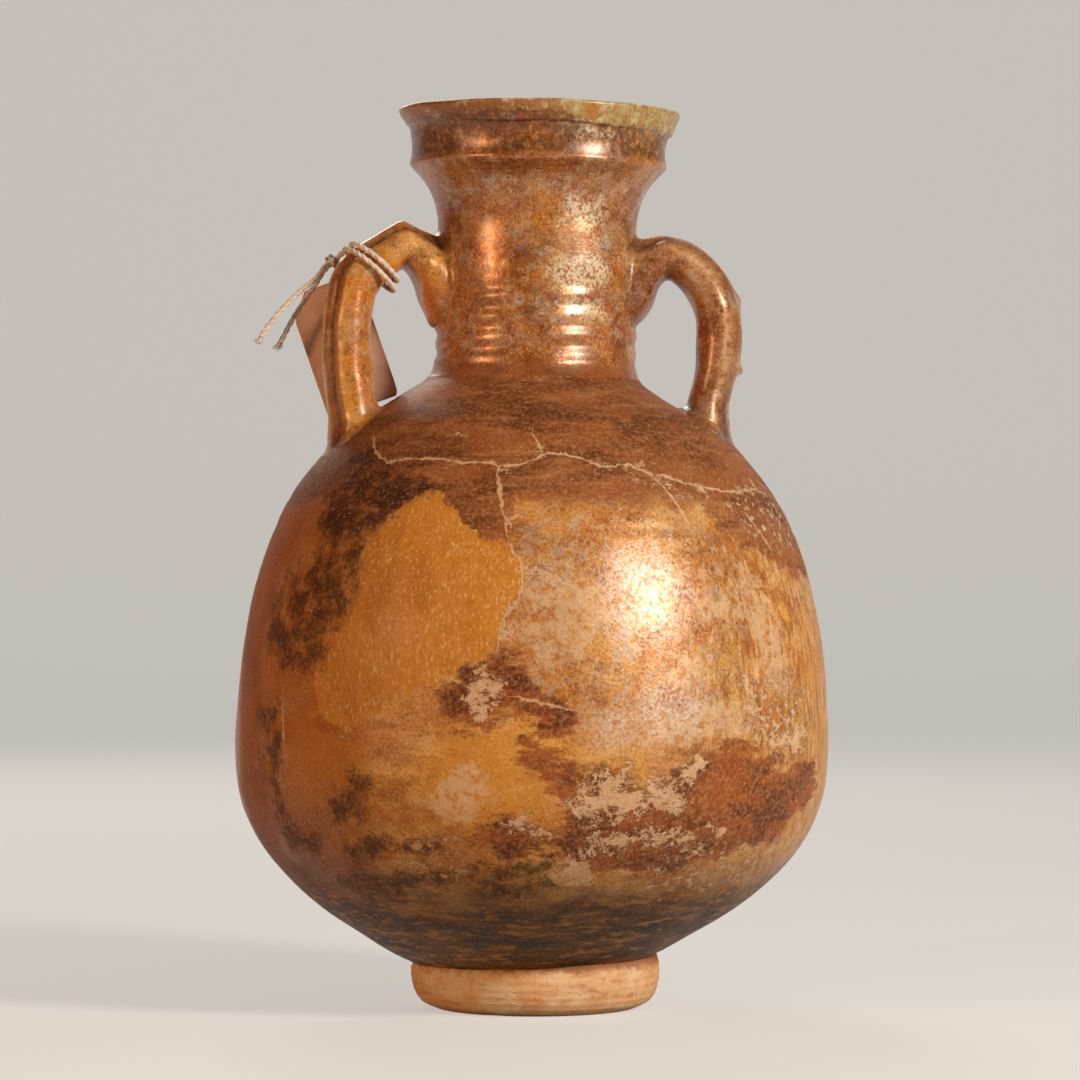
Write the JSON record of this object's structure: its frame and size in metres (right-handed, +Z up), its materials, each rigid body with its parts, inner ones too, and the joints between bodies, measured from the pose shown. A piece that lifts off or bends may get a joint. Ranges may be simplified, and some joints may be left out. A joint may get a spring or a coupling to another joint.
{
  "type": "two-handled vase",
  "caption": "Hollow glazed earthenware vase with a round body, narrow neck, collared mouth, strap handles and foot ring, with a card tag tied to one handle.",
  "frame": {"origin": "on the surface that the foot stands on, below the middle of the belly", "axes": "+Z up along the pot; the handles stand out along -X and +X; -Y is the front, where the tag's string crosses the handle"},
  "size_m": [0.1847, 0.1846, 0.2803],
  "materials": {
    "amber_glaze": "gloss, worn and iridescent in places",
    "buff_clay": "matte, bare fired clay",
    "manila_card": "matte card",
    "cotton_string": "matte twisted cotton"
  },
  "bodies": {
    "vase": {"body": "amber_glaze", "neck": "amber_glaze", "foot_ring": "buff_clay", "handle_left": "amber_glaze", "handle_right": "amber_glaze", "tag_string": "cotton_string", "string_knot": "cotton_string", "string_tail_long": "cotton_string", "string_tail_short": "cotton_string"},
    "tag": {"tag_card": "manila_card"}
  },
  "joints": [
    {"name": "tag_swing", "type": "hinge", "parent": "vase", "child": "tag", "pos_m": [-0.06133, 0.0016, 0.22054], "axis": [0, 1, 0], "range_deg": [0, 90]}
  ]
}
